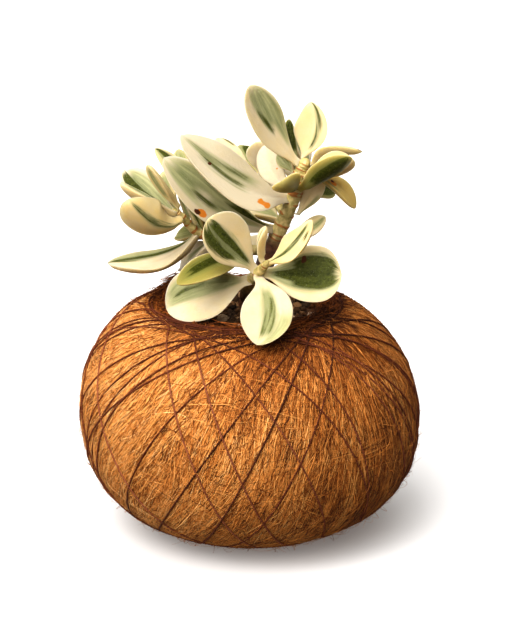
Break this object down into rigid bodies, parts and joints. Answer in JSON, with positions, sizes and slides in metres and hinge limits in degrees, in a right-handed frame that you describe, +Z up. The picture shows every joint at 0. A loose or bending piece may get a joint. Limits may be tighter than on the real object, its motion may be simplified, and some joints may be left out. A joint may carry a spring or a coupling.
{
  "type": "kokedama plant ball",
  "caption": "Variegated jade plant growing from a coconut fibre ball bound with thin dark twine, standing on a small flat spot.",
  "frame": {"origin": "on the flat spot that the ball rests on, straight under the ball's middle", "axes": "+Z up, -Y towards the front of the plant as pictured, +X to its right"},
  "size_m": [0.1121, 0.1128, 0.1445],
  "materials": {
    "coir": "loose golden-brown coconut fibre, matte",
    "twine": "twisted dark red-brown twine, matte",
    "soil": "dark crumbly potting soil, matte",
    "pebble": "rough grey-beige pumice and bark, matte",
    "stem": "green stem with brown leaf scars, woody below, satin",
    "leaf": "waxy leaf, cream with grey-green and dark green stripes, satin"
  },
  "bodies": {
    "root": {"coir_wrap": "coir", "twine": "twine", "stems": "stem", "soil_ball": "soil", "pebble_1": "pebble", "pebble_2": "pebble", "pebble_3": "pebble", "pebble_4": "pebble", "pebble_5": "pebble", "pebble_6": "pebble", "pebble_7": "pebble", "leaf_front_upper_left": "leaf", "leaf_front_upright": "leaf", "leaf_front_upper_right": "leaf", "leaf_front_right": "leaf", "leaf_front_drooping": "leaf", "leaf_front_left": "leaf", "leaf_low_left": "leaf", "leaf_left_lower": "leaf", "leaf_left_outer": "leaf", "leaf_left_small": "leaf", "leaf_left_upright": "leaf", "leaf_left_inner": "leaf", "leaf_left_long": "leaf", "leaf_left_node": "leaf", "leaf_back_long": "leaf", "leaf_left_tall": "leaf", "leaf_left_back": "leaf", "leaf_left_under": "leaf", "leaf_large_lower": "leaf", "leaf_large_upper": "leaf", "leaf_top_left": "leaf", "leaf_top_upright": "leaf", "leaf_top_right": "leaf", "leaf_top_front": "leaf", "leaf_top_right_lower": "leaf", "leaf_top_drooping": "leaf", "leaf_stem_right": "leaf", "leaf_stem_back_right": "leaf", "leaf_stem_left": "leaf", "leaf_back_upright": "leaf", "leaf_top_back_left": "leaf", "leaf_top_back": "leaf", "leaf_back_left": "leaf", "leaf_back_far": "leaf", "leaf_top_under": "leaf", "leaf_low_right": "leaf", "leaf_low_back_left": "leaf", "leaf_back_right": "leaf", "leaf_low_back": "leaf", "leaf_top_front_left": "leaf", "leaf_stem_back": "leaf"}
  },
  "joints": []
}
